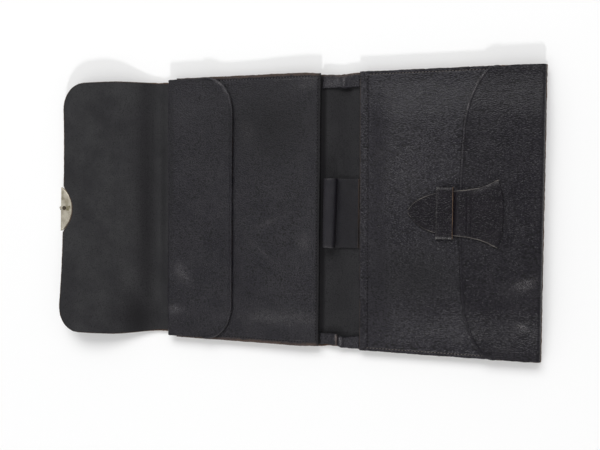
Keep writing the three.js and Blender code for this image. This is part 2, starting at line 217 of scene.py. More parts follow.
# Paints marks onto a piece, as an attribute that its leather reads.
def paintMarks(made, attribute, marks):
    points = walletPoints(made)
    amount = np.zeros(len(points))
    for m in marks:
        turn = math.radians(m["turn"])
        dx, dy = points[:, 0] - m["x"], points[:, 1] - m["y"]
        u = (dx * math.cos(turn) + dy * math.sin(turn)) / m["long"]
        v = (dy * math.cos(turn) - dx * math.sin(turn)) / m["wide"]
        amount = np.maximum(amount, m["amount"] * np.exp(-(u * u + v * v)))
    floatAttribute(made, attribute, amount)


# A shader node with its settings, and its inputs by name or, as i0, i1 and so on, by number.
# An input may be a value, a colour of three numbers or another node's output.
def place(tree, kind, settings=None, **inputs):
    node = tree.nodes.new("ShaderNode" + kind)
    for key, value in (settings or {}).items():
        setattr(node, key, value)
    for key, value in inputs.items():
        byNumber = key[0] == "i" and key[1:].isdigit()
        socket = node.inputs[int(key[1:]) if byNumber else key]
        if isinstance(value, bpy.types.NodeSocket):
            tree.links.new(value, socket)
        else:
            socket.default_value = (*value, 1) if socket.type == "RGBA" else value
    return node


def noiseValue(tree, vector, scale, detail, **more):
    return place(tree, "TexNoise", Vector=vector, Scale=scale, Detail=detail, **more).outputs["Fac"]


def maths(tree, operation, a, b=0.0, c=0.0, clamp=False):
    settings = {"operation": operation, "use_clamp": clamp}
    return place(tree, "Math", settings, i0=a, i1=b, i2=c).outputs[0]


def vectorMath(tree, operation, a, **more):
    return place(tree, "VectorMath", {"operation": operation}, i0=a, **more).outputs[0]


def attributeValue(tree, name):
    return place(tree, "Attribute", {"attribute_name": name}).outputs["Fac"]


def remap(tree, value, low, high, toLow=0.0, toHigh=1.0):
    return place(tree, "MapRange", {"interpolation_type": "SMOOTHSTEP"}, i0=value, i1=low, i2=high,
                 i3=toLow, i4=toHigh).outputs[0]


def blendColour(tree, fac, a, b):
    return place(tree, "Mix", {"data_type": "RGBA"}, i0=fac, i6=a, i7=b).outputs[2]


# A node group that takes a Vector and the named numbers, and gives masks or heights.
def newGroup(name, inputs, outputs):
    group = bpy.data.node_groups.new(name, "ShaderNodeTree")
    addSocket = group.interface.new_socket
    addSocket("Vector", in_out="INPUT", socket_type="NodeSocketVector")
    for label, value in inputs.items():
        addSocket(label, in_out="INPUT", socket_type="NodeSocketFloat").default_value = value
    for label in outputs:
        addSocket(label, in_out="OUTPUT", socket_type="NodeSocketFloat")
    return group, group.nodes.new("NodeGroupInput").outputs, group.nodes.new("NodeGroupOutput").inputs


# Leather grain. Height is for a bump and Valley is a mask of the creases between pebbles.
# Streak changes the pebbles into long fine wrinkles.
def grainGroup():
    group, ins, outs = newGroup(
        "leatherGrain", {"Cell": 0.001, "Stretch": 1.0, "Warp": 0.6, "Streak": 0.3}, ["Height", "Valley"])
    perMetre = maths(group, "DIVIDE", 1.0, ins["Cell"])
    shorter = maths(group, "DIVIDE", 1.0, ins["Stretch"])
    squeeze = place(group, "CombineXYZ", X=shorter, Y=1.0, Z=1.0)
    scaled = vectorMath(group, "MULTIPLY", ins["Vector"], i1=squeeze.outputs[0])
    inCells = vectorMath(group, "SCALE", scaled, Scale=perMetre)
    noise = place(group, "TexNoise", Vector=inCells, Scale=0.45, Detail=2.0)
    centred = vectorMath(group, "SUBTRACT", noise.outputs["Color"], i1=(0.5, 0.5, 0.5))
    pushed = vectorMath(group, "SCALE", centred, Scale=ins["Warp"])
    warped = vectorMath(group, "ADD", inCells, i1=pushed)
    cells = place(group, "TexVoronoi", Vector=warped, Scale=1.0, Randomness=0.9)
    dome = remap(group, cells.outputs["Distance"], 0.8, 0.05)
    tall = noiseValue(group, warped, 0.8, 1.0)
    uneven = remap(group, tall, 0.3, 0.7, 0.55, 1.0)
    pebbles = maths(group, "MULTIPLY", dome, uneven)
    lengthwise = vectorMath(group, "MULTIPLY", warped, i1=(0.35, 1.1, 1.0))
    wave = noiseValue(group, lengthwise, 0.8, 3.0, Roughness=0.6)
    ridge = maths(group, "ABSOLUTE", maths(group, "SUBTRACT", wave, 0.5))
    wrinkles = remap(group, ridge, 0.0, 0.14)
    body = place(group, "Mix", {"data_type": "FLOAT"}, i0=ins["Streak"], i2=pebbles,
                 i3=wrinkles)
    fine = noiseValue(group, inCells, 3.0, 3.0)
    pores = maths(group, "MULTIPLY", fine, 0.3)
    group.links.new(maths(group, "ADD", body.outputs[0], pores), outs["Height"])
    group.links.new(remap(group, cells.outputs["Distance"], 0.4, 0.85), outs["Valley"])
    return group


# Wear along a cut edge: a mask that is 1 at the edge and breaks up as it fades inwards.
# Patchy leaves some lengths of the edge untouched.
def edgeGroup():
    group, ins, outs = newGroup(
        "edgeWear", {"Distance": 1.0, "Width": 1.0, "Breakup": 0.8, "Patchy": 0.5}, ["Mask"])
    noise = noiseValue(group, ins["Vector"], 700.0, 4.0, Roughness=0.65)
    jitter = maths(group, "MULTIPLY", maths(group, "SUBTRACT", noise, 0.5), ins["Breakup"])
    share = maths(group, "DIVIDE", ins["Distance"], ins["Width"])
    nearness = maths(group, "SUBTRACT", 1.0, share)
    worn = maths(group, "SUBTRACT", nearness, maths(group, "MULTIPLY", jitter, 3.5))
    slow = noiseValue(group, ins["Vector"], 90.0, 2.0)
    gone = maths(group, "MULTIPLY", remap(group, slow, 0.42, 0.6), ins["Patchy"])
    kept = maths(group, "SUBTRACT", 1.0, gone, clamp=True)
    group.links.new(maths(group, "MULTIPLY", remap(group, worn, 0.05, 0.75), kept), outs["Mask"])
    return group


# Age: Mottle is a slow change of tone, Rub the rubbed patches, Specks dust and pale nicks.
def ageGroup():
    group, ins, outs = newGroup(
        "age", {"Patch": 0.02, "SpeckAmount": 0.5}, ["Mottle", "Rub", "Specks"])
    perMetre = maths(group, "DIVIDE", 1.0, ins["Patch"])
    slow = noiseValue(group, ins["Vector"], perMetre, 5.0, Roughness=0.6)
    rub = place(group, "TexNoise", {"noise_dimensions": "4D"}, Vector=ins["Vector"], W=3.0,
                Scale=perMetre, Detail=3.0, Roughness=0.7)
    dots = place(group, "TexVoronoi", Vector=ins["Vector"], Scale=330.0, Randomness=1.0)
    chance = place(group, "SeparateColor", i0=dots.outputs["Color"])
    few = maths(group, "GREATER_THAN", ins["SpeckAmount"], chance.outputs[0])
    small = remap(group, dots.outputs["Distance"], 0.16, 0.02)
    group.links.new(remap(group, slow, 0.3, 0.7), outs["Mottle"])
    group.links.new(remap(group, rub.outputs["Fac"], 0.5, 0.72), outs["Rub"])
    group.links.new(maths(group, "MULTIPLY", few, small), outs["Specks"])
    return group


leatherGrain, edgeWear, age = grainGroup(), edgeGroup(), ageGroup()


def newMaterial(name):
    material = bpy.data.materials.new(name)
    material.use_nodes = True
    tree = material.node_tree
    tree.nodes.clear()
    shader = tree.nodes.new("ShaderNodeBsdfPrincipled")
    output = tree.nodes.new("ShaderNodeOutputMaterial")
    tree.links.new(shader.outputs[0], output.inputs[0])
    coords = tree.nodes.new("ShaderNodeTexCoord").outputs["Object"]
    return material, tree, shader, coords


# Leather from a dictionary of its look. Sizes are in mm, colours linear.
def leather(name, look):
    material, tree, shader, coords = newMaterial(name)
    grain = place(tree, "Group", {"node_tree": leatherGrain}, Vector=coords,
                  Cell=look["cell"] * mm, Stretch=look["stretch"], Warp=look["warp"],
                  Streak=look["streak"])
    aged = place(tree, "Group", {"node_tree": age}, Vector=coords, Patch=look["patch"] * mm,
                 SpeckAmount=look["specks"])
    worn = place(tree, "Group", {"node_tree": edgeWear}, Vector=coords,
                 Distance=attributeValue(tree, "rawEdge"), Width=look["wornWidth"],
                 Breakup=look["breakup"], Patchy=look["patchy"]).outputs["Mask"]
    # An attribute painted onto some pieces darkens them to the grain valleys' dark colour and dulls them:
    # painted shade in gaps, beside folds and under raised parts, and dirt.
    shadeAndGrime = attributeValue(tree, "shadeAndGrime")
    # An attribute painted onto some pieces, broken up by this noise, lightens them: real scuffs in
    # places, and painted highlights and sheen along lit edges, folds and bends in others.
    scratches = noiseValue(tree, coords, 800.0, 6.0, Roughness=0.8, Distortion=2.5)
    scuffAndHighlightMask = maths(tree, "MULTIPLY", attributeValue(tree, "scuffAndHighlight"),
                      remap(tree, scratches, 0.47, 0.6), clamp=True)

    tone = blendColour(tree, aged.outputs["Mottle"], look["dark"], look["light"])
    # The grain's valleys are painted darker: painted shade in the creases.
    valleyShade = maths(tree, "MULTIPLY", grain.outputs["Valley"], look["valleyShadeAmount"])
    rubbed = maths(tree, "MULTIPLY", aged.outputs["Rub"], look["rub"])
    for mask, colour in ((valleyShade, "valleyShadeTone"), (rubbed, "rubTone"), (scuffAndHighlightMask, "scuffAndHighlightTone"),
                         (aged.outputs["Specks"], "speckTone"), (worn, "raw"), (shadeAndGrime, "valleyShadeTone")):
        tone = blendColour(tree, mask, tone, look[colour])
    tree.links.new(tone, shader.inputs["Base Color"])

    rough = maths(tree, "MULTIPLY_ADD", aged.outputs["Mottle"], look["roughSpread"], look["rough"])
    dull = maths(tree, "MULTIPLY_ADD", grain.outputs["Valley"], 0.2, rough)
    matt = maths(tree, "MULTIPLY_ADD", maths(tree, "MAXIMUM", worn, shadeAndGrime), 0.3, dull)
    tree.links.new(matt, shader.inputs["Roughness"])
    shader.inputs["Specular IOR Level"].default_value = look["specular"]

    swell = noiseValue(tree, coords, 1 / (look["swell"] * mm), 2.0)
    broad = place(tree, "Bump", Strength=1.0, Distance=look["swellDepth"] * mm, Height=swell)
    bump = place(tree, "Bump", Strength=1.0, Distance=look["depth"] * mm,
                 Height=grain.outputs["Height"], Normal=broad.outputs[0])
    tree.links.new(bump.outputs[0], shader.inputs["Normal"])
    return material


rawBrown, rawPale = (0.042, 0.029, 0.023), (0.11, 0.1, 0.09)
pocketLook = {
    "cell": 0.68, "stretch": 1.3, "warp": 0.5, "streak": 0.15, "depth": 0.25,
    "swell": 5, "swellDepth": 0.35,
    "dark": (0.0076, 0.0066, 0.0112), "light": (0.0146, 0.0132, 0.0178),
    # dark colour of the painted shade in grain valleys, gaps and folds, and of dirt
    "valleyShadeTone": (0.001, 0.0008, 0.0016), "valleyShadeAmount": 1.0, "patch": 14,
    "rub": 0.3, "rubTone": (0.022, 0.021, 0.024), "specks": 0.03, "speckTone": (0.05, 0.048, 0.046),
    "scuffAndHighlightTone": (0.1, 0.096, 0.098), "raw": rawBrown, "wornWidth": 0.5, "breakup": 0.8, "patchy": 0.5,
    "rough": 0.28, "roughSpread": 0.1, "specular": 0.275,
}
leftLeather = leather("leftPocketLeather", {
    **pocketLook, "raw": (0.062, 0.042, 0.033), "wornWidth": 2.4, "breakup": 0.5, "patchy": 0.3,
})
# Brighter scuff tone for the painted highlights along the flap's rounded corner and its fold.
leftFlapLeather = leather("leftFlapLeather", {
    **pocketLook, "raw": (0.035, 0.02, 0.013), "wornWidth": 0.15, "patchy": 1.0,
    "scuffAndHighlightTone": (0.19, 0.18, 0.19),
})
rightLook = {
    **pocketLook, "cell": 0.6, "stretch": 2.6, "warp": 0.2, "streak": 0.1, "depth": 0.172, "swell": 6,
    "dark": (0.0092, 0.0078, 0.0128), "light": (0.0164, 0.0146, 0.02), "wornWidth": 0.6, "patchy": 0.9,
}
rightLeather = leather("rightPocketLeather", {**rightLook, "raw": (0.03, 0.022, 0.019), "wornWidth": 0.4})
# The right flap is the same leather as the right front with darker colours: painted shade. Its brighter
# scuff tone is for painted highlights along its edge.
rightFlapShadedLeather = leather("rightFlapShadedLeather", {
    **rightLook, "depth": 0.145, "dark": (0.0074, 0.0062, 0.0098), "light": (0.0124, 0.0108, 0.0148),
    "raw": (0.06, 0.038, 0.024), "wornWidth": 0.2, "patchy": 0.9, "specular": 0.235,
    "scuffAndHighlightTone": (0.18, 0.17, 0.175),
})
liningLeather = leather("liningLeather", {
    **pocketLook, "cell": 0.55, "stretch": 1.0, "streak": 0.0, "depth": 0.05,
    "swell": 7, "swellDepth": 0.2,
    "dark": (0.0098, 0.0095, 0.0115), "light": (0.0235, 0.0234, 0.025),
    # dark colour of the painted shade in grain valleys, gaps and folds, and of dirt
    "valleyShadeTone": (0.0055, 0.005, 0.0062), "valleyShadeAmount": 0.6, "patch": 17, "specks": 0.02,
    "raw": (0.075, 0.04, 0.02), "wornWidth": 0.9, "breakup": 0.5, "patchy": 0.3,
    "rough": 0.6, "roughSpread": 0.1, "specular": 0.3,
})
coverLeather = leather("coverLeather", {
    **rightLook, "raw": (0.075, 0.036, 0.016), "wornWidth": 1.3, "patchy": 0.4,
})
# Brighter scuff tone for the painted highlights on the strips' ridge and roll.
stripLeather = leather("stripLeather", {
    **rightLook, "cell": 0.6, "stretch": 1.2, "warp": 0.5, "depth": 0.26, "raw": (0.09, 0.068, 0.06),
    "wornWidth": 1.5, "patchy": 0.5, "scuffAndHighlightTone": (0.22, 0.21, 0.22),
})
tongueLook = {
    **rightLook, "depth": 0.15, "dark": (0.0032, 0.0018, 0.0046), "light": (0.0048, 0.0028, 0.0064),
    "wornWidth": 0.45, "specular": 0.25,
}
tongueLeather = leather("tongueLeather", {**tongueLook, "raw": rawPale, "breakup": 1.0, "patchy": 0.75})
# Brighter scuff tone for the painted highlights on the keeper's corners, bends and left edge.
keeperLeather = leather("keeperLeather", {
    **tongueLook, "raw": (0.1, 0.06, 0.037), "breakup": 0.9, "patchy": 0.6,
    "scuffAndHighlightTone": (0.3, 0.29, 0.28),
})
loopLeather = leather("loopLeather", {
    **pocketLook, "cell": 0.5, "stretch": 0.45, "streak": 0.6, "depth": 0.1,
    "raw": (0.06, 0.042, 0.032), "wornWidth": 0.35,
})


def threadMaterial(name, colour, specular=0.3):
    material, tree, shader, coords = newMaterial(name)
    shader.inputs["Specular IOR Level"].default_value = specular
    noise = noiseValue(tree, coords, 900.0, 2.0)
    tone = blendColour(tree, noise, tuple(c * 0.5 for c in colour), colour)
    tree.links.new(tone, shader.inputs["Base Color"])
    shader.inputs["Roughness"].default_value = 0.7
    return material


darkThread = threadMaterial("darkThread", (0.03, 0.027, 0.031))
# The dark thread painted lighter, for the left pocket's top seam: painted highlight.
litDarkThread = threadMaterial("litDarkThread", (0.08, 0.075, 0.085))
paleThread = threadMaterial("paleThread", (0.13, 0.11, 0.1))
# Near-black dots for the needle holes: painted shade.
paintedHoleShade = threadMaterial("paintedHoleShade", (0.001, 0.001, 0.001), 0)


nickelLook = {
    "clean": (0.57, 0.53, 0.44), "tarnish": (0.37, 0.33, 0.26), "stain": (0.15, 0.13, 0.05),
    "stains": [  # x and y in the wallet, size in mm and strength
        (-195.4, -0.6, 2.4, 0.7), (-194.0, 0.8, 1.2, 0.9), (-200.2, 6.5, 2.0, 0.4), (-200, 10, 2.0, 0.45),
        (-201, -16, 1.6, 0.7), (-196.6, 3.6, 3.4, 0.3),
    ],
}


# The clasp's nickel: tarnished and scratched, with greenish stains near the leather.
def nickelMaterial():
    look = nickelLook
    material, tree, shader, coords = newMaterial("oldNickel")
    cloud = noiseValue(tree, coords, 260.0, 5.0, Roughness=0.6)
    long = place(tree, "Mapping", Vector=coords, Scale=(3.0, 0.35, 1.0))
    lines = noiseValue(tree, long.outputs[0], 900.0, 3.0)
    tone = blendColour(tree, remap(tree, cloud, 0.35, 0.7), look["clean"], look["tarnish"])
    flat = vectorMath(tree, "MULTIPLY", coords, i1=(1, 1, 0))
    for x, y, size, strength in look["stains"]:
        away = place(tree, "VectorMath", {"operation": "DISTANCE"}, i0=flat,
                     i1=(spineX + x * mm, y * mm, 0)).outputs["Value"]
        uneven = maths(tree, "MULTIPLY_ADD", cloud, -1.2 * size * mm, away)
        mask = remap(tree, uneven, 0.3 * size * mm, -0.35 * size * mm, 0.0, strength)
        tone = blendColour(tree, mask, tone, look["stain"])
    tree.links.new(tone, shader.inputs["Base Color"])
    shader.inputs["Metallic"].default_value = 0.75
    tree.links.new(remap(tree, lines, 0.3, 0.7, 0.36, 0.55), shader.inputs["Roughness"])
    bump = place(tree, "Bump", Strength=0.5, Distance=0.03 * mm, Height=lines)
    tree.links.new(bump.outputs[0], shader.inputs["Normal"])
    return material


def rustMaterial():
    material, tree, shader, coords = newMaterial("rustyIron")
    noise = noiseValue(tree, coords, 1500.0, 4.0)
    tone = blendColour(tree, noise, (0.012, 0.009, 0.004), (0.05, 0.032, 0.012))
    tree.links.new(tone, shader.inputs["Base Color"])
    shader.inputs["Roughness"].default_value = 0.8
    bump = place(tree, "Bump", Strength=0.8, Distance=0.08 * mm, Height=noise)
    tree.links.new(bump.outputs[0], shader.inputs["Normal"])
    return material


oldNickel, rustyIron = nickelMaterial(), rustMaterial()
print("materials ready")

# The closing flap: heights of its underside along the upper and the lower edge.
closingFlap = {
    "x": [-202, -188, -175, -163, -151, -139, -127, -112],
    "upper": [3.4, 5.2, 6.2, 6.3, 4.7, 1.9, 0, 0],
    "lower": [8.0, 9.4, 9.4, 7.7, 4.6, 1.6, 0, 0],
    "sag": [3.5, 3.5, 2.9, 1.9, 0.9, 0.2, 0, 0],
    "endUpper": -198,
    "endLower": -200.3,
    "corner": 17.5,
    "full": 85.9,
    "waist": 83.5,
    "waistShift": 0.9,
    "waistFrom": -120,
    "fullFrom": -160,
    "shoulder": 5,  # how softly the notch for the clasp meets the edge
}
clasp = {
    "y": -1, "radius": 17.1, "deepest": -191.5, "edge": -201.5, "plate": 1.0, "boss": 1.5,
    "flangeHalf": 12, "lip": 3,
    "rivetX": -198.4, "rivetY": 0.7, "rivetHalf": (1.75, 1.4),
    "nubX": -201.9, "nubY": 1.0, "nubHalf": (1.3, 1.0),
}


def flapHeight(x, y):
    f = closingFlap
    side = y / wallet["halfHeight"]
    edges = mix(throughTable(f["x"], f["lower"], x), throughTable(f["x"], f["upper"], x), (side + 1) / 2)
    sag = throughTable(f["x"], f["sag"], x) * np.maximum(0, 1 - side * side)
    return np.maximum(0, edges - sag)


def bodyY(v, x, panelHalf, inset):
    f = closingFlap
    intoPanel = smooth((x - leftFold - 1) / 4)
    alongFlap = smooth((f["waistFrom"] - x) / (f["waistFrom"] - f["fullFrom"]))
    half = mix(mix(f["waist"], f["full"], alongFlap), panelHalf, intoPanel)
    return v * (half - inset) + f["waistShift"] * (1 - alongFlap) * (1 - intoPanel)


# Where the free edge of the closing flap lies, from its corners to the notch around the clasp.
def flapEdge(v, inset):
    f = closingFlap
    inCorner = np.clip(np.abs(v) * f["full"] - (f["full"] - f["corner"]), 0, f["corner"])
    rounded = f["corner"] - np.sqrt(f["corner"] ** 2 - inCorner ** 2)
    arc = np.maximum(clasp["radius"] ** 2 - (v * f["full"] - clasp["y"]) ** 2, 0)
    notch = clasp["deepest"] - clasp["radius"] + np.sqrt(arc)
    edge = mix(f["endLower"], f["endUpper"], (v + 1) / 2) + rounded
    h = np.clip(0.5 + 0.5 * (notch - edge) / f["shoulder"], 0, 1)
    return mix(edge, notch, h) + f["shoulder"] * h * (1 - h) + inset


# Fine creases that run up the leather beside a fold, in mm of height.
def foldCreases(x, y, centre, spread, depth, seed):
    near = bell(x, centre, spread)
    fine = softNoise(x, y / 14, 2.8, seed) + 0.6 * softNoise(x, y / 12, 1.5, seed + 1)
    return depth * near * fine


bodyGrid = {"halfRows": 85, "flapLong": 80, "cornerStep": 0.5, "claspStep": 0.6}
spineWaist = {"depth": 1.2, "x": -2.5, "wide": 11}


# Cover or lining in one sheet: the panels' part has straight columns, and the closing flap's
# columns follow its free edge. Step is the size of its mesh in mm.
def bodySheet(name, material, bottom, thick, inset, rightEnd, panelHalf, step, relief, fray):
    g = bodyGrid
    half, long, fine = g["halfRows"], g["flapLong"], g["cornerStep"]
    cornerShare = closingFlap["corner"] / closingFlap["full"]
    atCorners = [(side * (1 - cornerShare * 0.35), cornerShare * 0.5, fine / half) for side in (-1, 1)]
    rows = gridLines(-1, 1, step / half, [*atCorners, (clasp["y"] / half, 0.24, g["claspStep"] / half)])
    flapShares = gridLines(0, 1, step / long, [(1, 0.1, fine / long), (0.07, 0.11, step * 0.35 / long)])
    panel = gridLines(rightEnd, closingFlap["waistFrom"] + 2, step * 1.6,
                      [(0, 14, step * 0.4), (leftFold, 5, step * 0.4)])
    x, v = np.meshgrid(np.concatenate([panel, np.zeros(len(flapShares) - 1)]), rows)
    onFlap = len(panel)
    x[:, onFlap:] = mix(panel[-1], flapEdge(rows, inset)[:, None], flapShares[None, 1:])
    waist = spineWaist["depth"] * bell(x, spineWaist["x"], spineWaist["wide"])
    y = bodyY(v, x, panelHalf - waist, inset)
    z = flapHeight(x, y) + bottom + thick / 2 + relief(x, y)
    return leatherSheet(name, np.stack([x, y, z], -1)[:, ::-1], thick, material, fray=fray)


liningShape = {
    "lie": 0.08, "wave": 0.3, "waveFrom": -122, "waveRamp": 12, "waveSize": 26,
    "flapCrease": {"centre": -124, "spread": 10, "depth": 0.3, "seed": 12},
    "spineCrease": {"centre": 2, "spread": 11, "depth": 0.4, "seed": 14},
}


# The closing flap's slow waves, which the cover and the lining share.
def flapWave(x, y):
    onFlap = smooth((liningShape["waveFrom"] - x) / liningShape["waveRamp"])
    return liningShape["wave"] * onFlap * softNoise(x, y, liningShape["waveSize"], 11)


def liningRelief(x, y):
    fold = foldCreases(x, y, **liningShape["flapCrease"])
    spine = foldCreases(x, y, **liningShape["spineCrease"])
    return flapWave(x, y) + fold + spine


cover = bodySheet("cover", coverLeather, 0, wallet["coverThick"], 0, rightFold + wallet["coverProud"],
                  wallet["halfHeight"] + 0.4, 1.6, flapWave, 0.16)
# Painted shade on the lining: bands beside the closing flap's fold and along its lower edge, the gap
# beside the left pocket's inner edge, and under the edges of the spine strips. The spine is painted
# darker as well.
liningShadeAndGrime = [
    mark(-134.5, 0, 7, 120, 0.72),
    mark(-122, 10, 2.5, 70, 0.5),
    mark(-134, -15, 6, 22, 0.75),
    mark(-140, -74, 13, 17, 0.95),
    mark(-7, 26, 5, 9, 0.5),
    mark(0, -50, 10, 60, 0.35),
    mark(0, 0, 14, 200, 0.5),
    mark(-11, 0, 2.2, 200, 1.0),
    mark(3.6, 75, 4, 1.6, 1.0),
    mark(-3, -75.8, 8, 0.9, 0.9),
]
liningBottom = wallet["coverThick"] + liningShape["lie"]
lining = bodySheet("liningSheet", liningLeather, liningBottom, liningTop - liningBottom, 0.5,
                   rightFold - 1, wallet["halfHeight"], 1.5, liningRelief, 0.1)
paintMarks(lining, "shadeAndGrime", liningShadeAndGrime)
print("cover and lining made")

leftPocket = {
    "fold": leftFold, "side": -1, "inner": -wallet["spineHalf"] - 0.3, "mouth": leftFold + 6,
    "halfBack": 84.8, "halfFront": 85.7, "rise": 0.9, "edgeRamp": 22, "sideRamp": 24,
    "shiftY": 0.5, "skew": 0, "tuck": 0.8, "lift": 1.2, "liftFrom": 60,
    "flapEnd": -70.3, "bow": 0, "cornerX": 18, "cornerY": 24, "sewnIn": 1.9, "seamIn": 2.7,
    "seed": 40, "lip": 0.65,
    "humps": [mark(-24, 74, 9, 6, 0.6), mark(-34, -60, 32, 11, 1.0)],
}
rightPocket = {
    "fold": rightFold, "side": 1, "inner": wallet["spineHalf"] + 0.8, "mouth": rightFold - 6,
    "halfBack": 85, "halfFront": 85.4, "rise": 3.4, "edgeRamp": 18, "sideRamp": 28,
    "shiftY": 0, "skew": 0.8, "tuck": 0, "lift": 0, "liftFrom": 60,
    "flapEnd": 72.6, "bow": 5, "cornerX": 14, "cornerY": 38, "sewnIn": 4.9, "seamIn": 1.9,
    "seed": 60, "lip": 0.4,
    "humps": [mark(40, 44, 24, 20, 1.3)],
}
flapLip = {"width": 0.6, "fromEdge": 0.85}
foldNose = 1.5  # how far a fold at a panel's outer edge bulges out, in mm
seamLook = {"groove": 0.28, "grooveWidth": 0.6}


def backLift(p, x):
    return p["lift"] * smooth(1 - np.abs(x - p["inner"]) / p["liftFrom"])


# Slow swells and soft wrinkles of the front sheet, which its flap follows.
def pocketRelief(p, x, y):
    inside = smooth((np.abs(x - p["inner"]) - 1) / 14) * smooth((p["halfFront"] - 1 - np.abs(y)) / 14)
    swell = 0.4 * softNoise(x, y, 30, p["seed"]) + 0.13 * softNoise(x, y, 11, p["seed"] + 1)
    for hump in p["humps"]:
        swell += hump["amount"] * bell(x, hump["x"], hump["long"]) * bell(y, hump["y"], hump["wide"])
    return inside * swell


def frontBottom(p, x, y):
    inX = smooth((np.abs(x - p["inner"]) - wallet["seam"]) / p["edgeRamp"])
    inY = smooth((p["halfFront"] - wallet["seam"] - np.abs(y)) / p["sideRamp"])
    sewn = backBottom + backLift(p, x) + pocketLeather + gap
    return sewn + p["rise"] * inX * inY + pocketRelief(p, x, y)


# Shifts the middle surface of a pocket's sheet to where it is sewn, and slants its inner edge.
def sewnPlace(p, middle):
    x, y = middle[..., 0], middle[..., 1]
    slant = -p["skew"] * y / wallet["halfHeight"] * (1 - np.abs(x - p["inner"]) / 110)
    tuck = p["tuck"] * smooth(1 - np.abs(x - p["inner"]) / 14)
    middle[..., 0] = x + slant
    middle[..., 1] = y * (1 - tuck / wallet["halfHeight"]) + p["shiftY"]
    return middle


# The seam pulls the front sheet down along a groove.
def seamGroove(p, x, y):
    toSides = p["halfFront"] - p["seamIn"] - np.abs(y)
    toInner = np.abs(x - p["inner"]) - p["sewnIn"]
    groove = np.maximum(np.exp(-((toSides / seamLook["grooveWidth"]) ** 2)) * smooth(toInner + 1),
                        np.exp(-((toInner / seamLook["grooveWidth"]) ** 2)) * smooth(toSides + 1))
    return -seamLook["groove"] * groove


def pocketFront(name, p, material):
    seamX = p["inner"] + p["side"] * p["sewnIn"]
    xs = np.sort(gridLines(p["inner"], p["mouth"], 1.0, [(seamX, 1.6, 0.3)]))
    seamY = p["halfFront"] - p["seamIn"]
    ys = gridLines(-p["halfFront"], p["halfFront"], 1.0, [(seamY, 1.6, 0.3), (-seamY, 1.6, 0.3)])
    x, y = np.meshgrid(xs, ys)
    z = frontBottom(p, x, y) + pocketLeather / 2 + seamGroove(p, x, y)
    middle = sewnPlace(p, np.stack([x, y, z], -1))
    raw = "start end" if p["side"] < 0 else "start end left"
    return leatherSheet(name, middle, pocketLeather, material, raw=raw, fray=0.12)


def flapMiddle(p, x, y):
    onFront = np.maximum(x, p["mouth"]) if p["side"] < 0 else np.minimum(x, p["mouth"])
    return frontBottom(p, onFront, y) + pocketLeather * 1.5 + gap


# Back sheet, fold and flap of a pocket in one: its middle line on each row.
def pocketEnvelope(name, p, material):
    wall, side = pocketLeather, p["side"]
    cornerFrom = p["halfBack"] - p["cornerY"]
    rows = gridLines(-p["halfBack"], p["halfBack"], 1.2, [
        (s * (p["halfBack"] - 1.5), 4.5, 0.25) for s in (-1, 1)])
    inCorner = np.clip((np.abs(rows) - cornerFrom) / p["cornerY"], 0, 1)
    bow = p["bow"] * (rows / p["halfBack"]) ** 2
    free = p["flapEnd"] + side * (bow + p["cornerX"] * (1 - np.sqrt(1 - inCorner ** 2)))
    across = 1 / np.sqrt(1 + np.minimum(np.gradient(free, rows) ** 2, 12))
    lowZ = backBottom + wall / 2
    highZ = flapMiddle(p, np.full(rows.shape, p["fold"]), rows)
    rise = (highZ - lowZ) / 2
    bulge = np.minimum(rise, foldNose)
    foldCentre = p["fold"] - side * (wall / 2 + bulge)
    columns = []
    for s in np.linspace(0, 1, 30)[:-1]:
        x = mix(np.full(rows.shape, p["inner"]), foldCentre, s)
        columns.append((x, backBottom + backLift(p, x) + wall / 2))
    for a in np.linspace(-math.pi / 2, math.pi / 2, 13)[:-1]:
        columns.append((foldCentre + side * bulge * math.cos(a), (lowZ + highZ) / 2 + rise * math.sin(a)))
    for s in gridLines(0, 1, 1 / 44, [(1, 0.08, 0.005)]):
        x = mix(foldCentre, free, s)
        fromLip = np.abs(x - free) * across - flapLip["fromEdge"]
        columns.append((x, flapMiddle(p, x, rows) + p["lip"] * bell(fromLip, 0, flapLip["width"])))
    middle = sewnPlace(p, np.stack([np.stack([x, rows, z], -1) for x, z in columns], 1))
    return leatherSheet(name, middle, wall, material, 0.5, raw="start end right", fray=0.06)


leftFront = pocketFront("leftPocketFront", leftPocket, leftLeather)
leftEnvelope = pocketEnvelope("leftPocketFlap", leftPocket, leftFlapLeather)
rightFront = pocketFront("rightPocketFront", rightPocket, rightLeather)
rightEnvelope = pocketEnvelope("rightPocketFlap", rightPocket, rightFlapShadedLeather)
leftScuffsAndHighlights = [
    # Real scuffs and scratches.
    mark(-106, -42, 9, 4, 0.4, turn=-55),
    mark(-111, -66, 5, 3, 0.5),
    mark(-60, 50, 4, 6, 0.6),
    mark(-47, -8, 9, 2, 0.4, turn=25),
    mark(-50, -26, 10, 1.6, 0.4, turn=-40),
    mark(-22, -20, 4, 5, 0.5),
    # A pale band along the bottom: painted sheen.
    mark(-38, -68, 32, 4.5, 0.55),
    # Painted highlights: light dots along the top seam, and a sheen near the top right corner.
    mark(-26, 82.3, 16, 0.5, 0.9),
    mark(-20, 80, 8, 4.5, 0.45),
    # Two pale marks near the bottom right corner.
    mark(-25, -82, 3, 0.5, 0.9),
    mark(-17, -84.3, 5, 0.5, 0.7),
    # Painted highlights along the fold and along the flap's rounded top corner.
    mark(-116.6, 35, 0.6, 45, 0.6),
    mark(-81, 82.2, 4.5, 0.9, 1.0, turn=-33),
    mark(-75.8, 76.6, 5, 0.9, 1.0, turn=-57),
    mark(-72.2, 68, 6, 0.5, 0.5, turn=-76),
]
